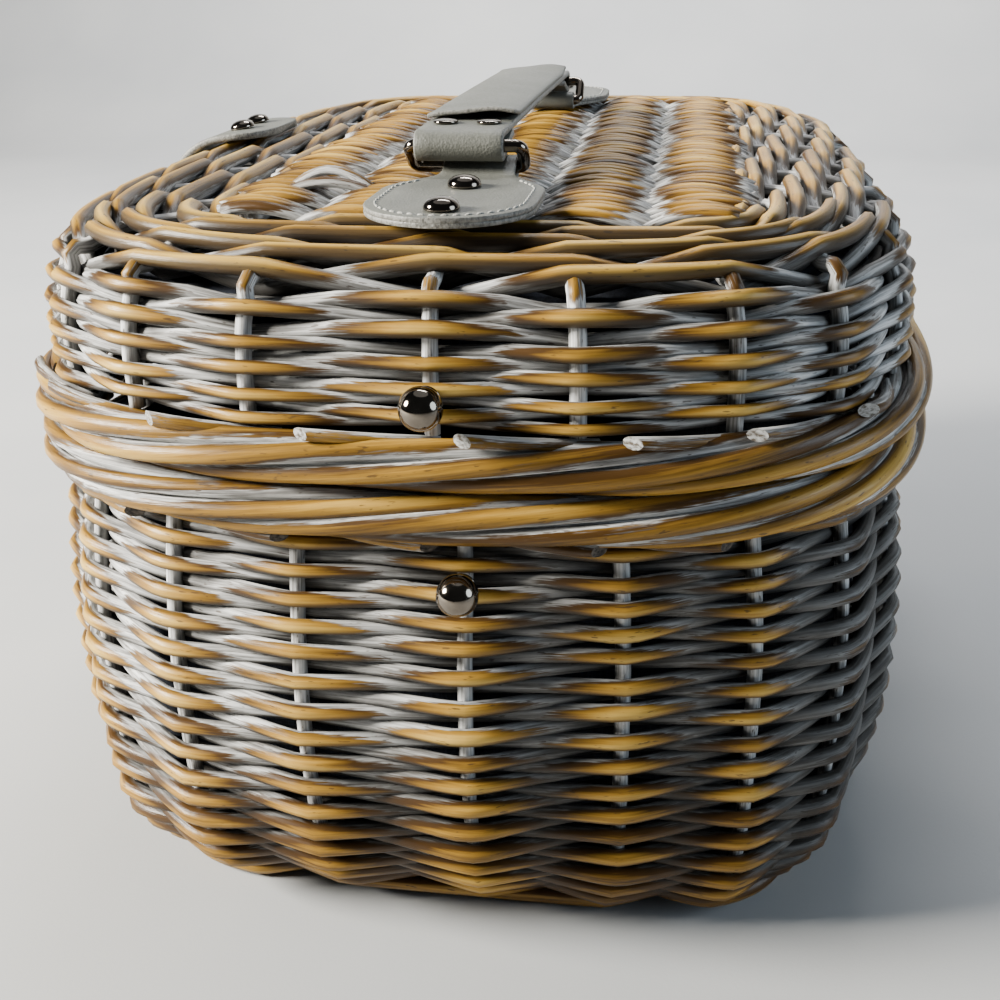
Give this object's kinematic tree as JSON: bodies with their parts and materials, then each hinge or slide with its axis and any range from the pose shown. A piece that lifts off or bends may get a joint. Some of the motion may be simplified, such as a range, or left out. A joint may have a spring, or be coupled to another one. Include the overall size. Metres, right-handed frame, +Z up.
{
  "type": "picnic basket",
  "caption": "Rounded wicker picnic basket: woven tub, woven lid hinged at the back, rolled borders, leather carrying handle on metal rings, leather front strap and ball studs.",
  "frame": {"origin": "middle of the flat base, on the surface the basket stands on", "axes": "+X along the length, towards the end with the ball studs; -Y the front with the closing strap; +Z up"},
  "size_m": [0.4281, 0.3102, 0.2507],
  "materials": {
    "willow": "brown willow with a white wash, satin",
    "limed_willow": "washed willow, matte",
    "grey_leather": "warm grey, satin",
    "nickel": "polished"
  },
  "bodies": {
    "tub": {"body_foot": "willow", "body_wall": "willow", "base_panel": "limed_willow", "body_border": "willow", "body_stud": "nickel", "hinge_loop_left": "grey_leather", "hinge_loop_right": "grey_leather"},
    "lid": {"lid_wall": "willow", "lid_panel": "willow", "lid_border": "willow", "lid_stud": "nickel", "handle_tab_near": "grey_leather", "handle_tab_far": "grey_leather", "handle_ring_near": "nickel", "handle_ring_far": "nickel", "handle_strap": "grey_leather", "handle_grip": "grey_leather", "tab_rivet_1": "nickel", "tab_rivet_2": "nickel", "tab_rivet_3": "nickel", "tab_rivet_4": "nickel", "strap_rivet_1": "nickel", "strap_rivet_2": "nickel", "strap_rivet_3": "nickel", "strap_rivet_4": "nickel", "front_strap": "grey_leather", "front_rivet_1": "nickel", "front_rivet_2": "nickel", "front_button": "nickel"}
  },
  "joints": [
    {"name": "lid_hinge", "type": "hinge", "parent": "tub", "child": "lid", "pos_m": [0, 0.1425, 0.1738], "axis": [-1, 0, 0], "range_deg": [0, 100]}
  ]
}
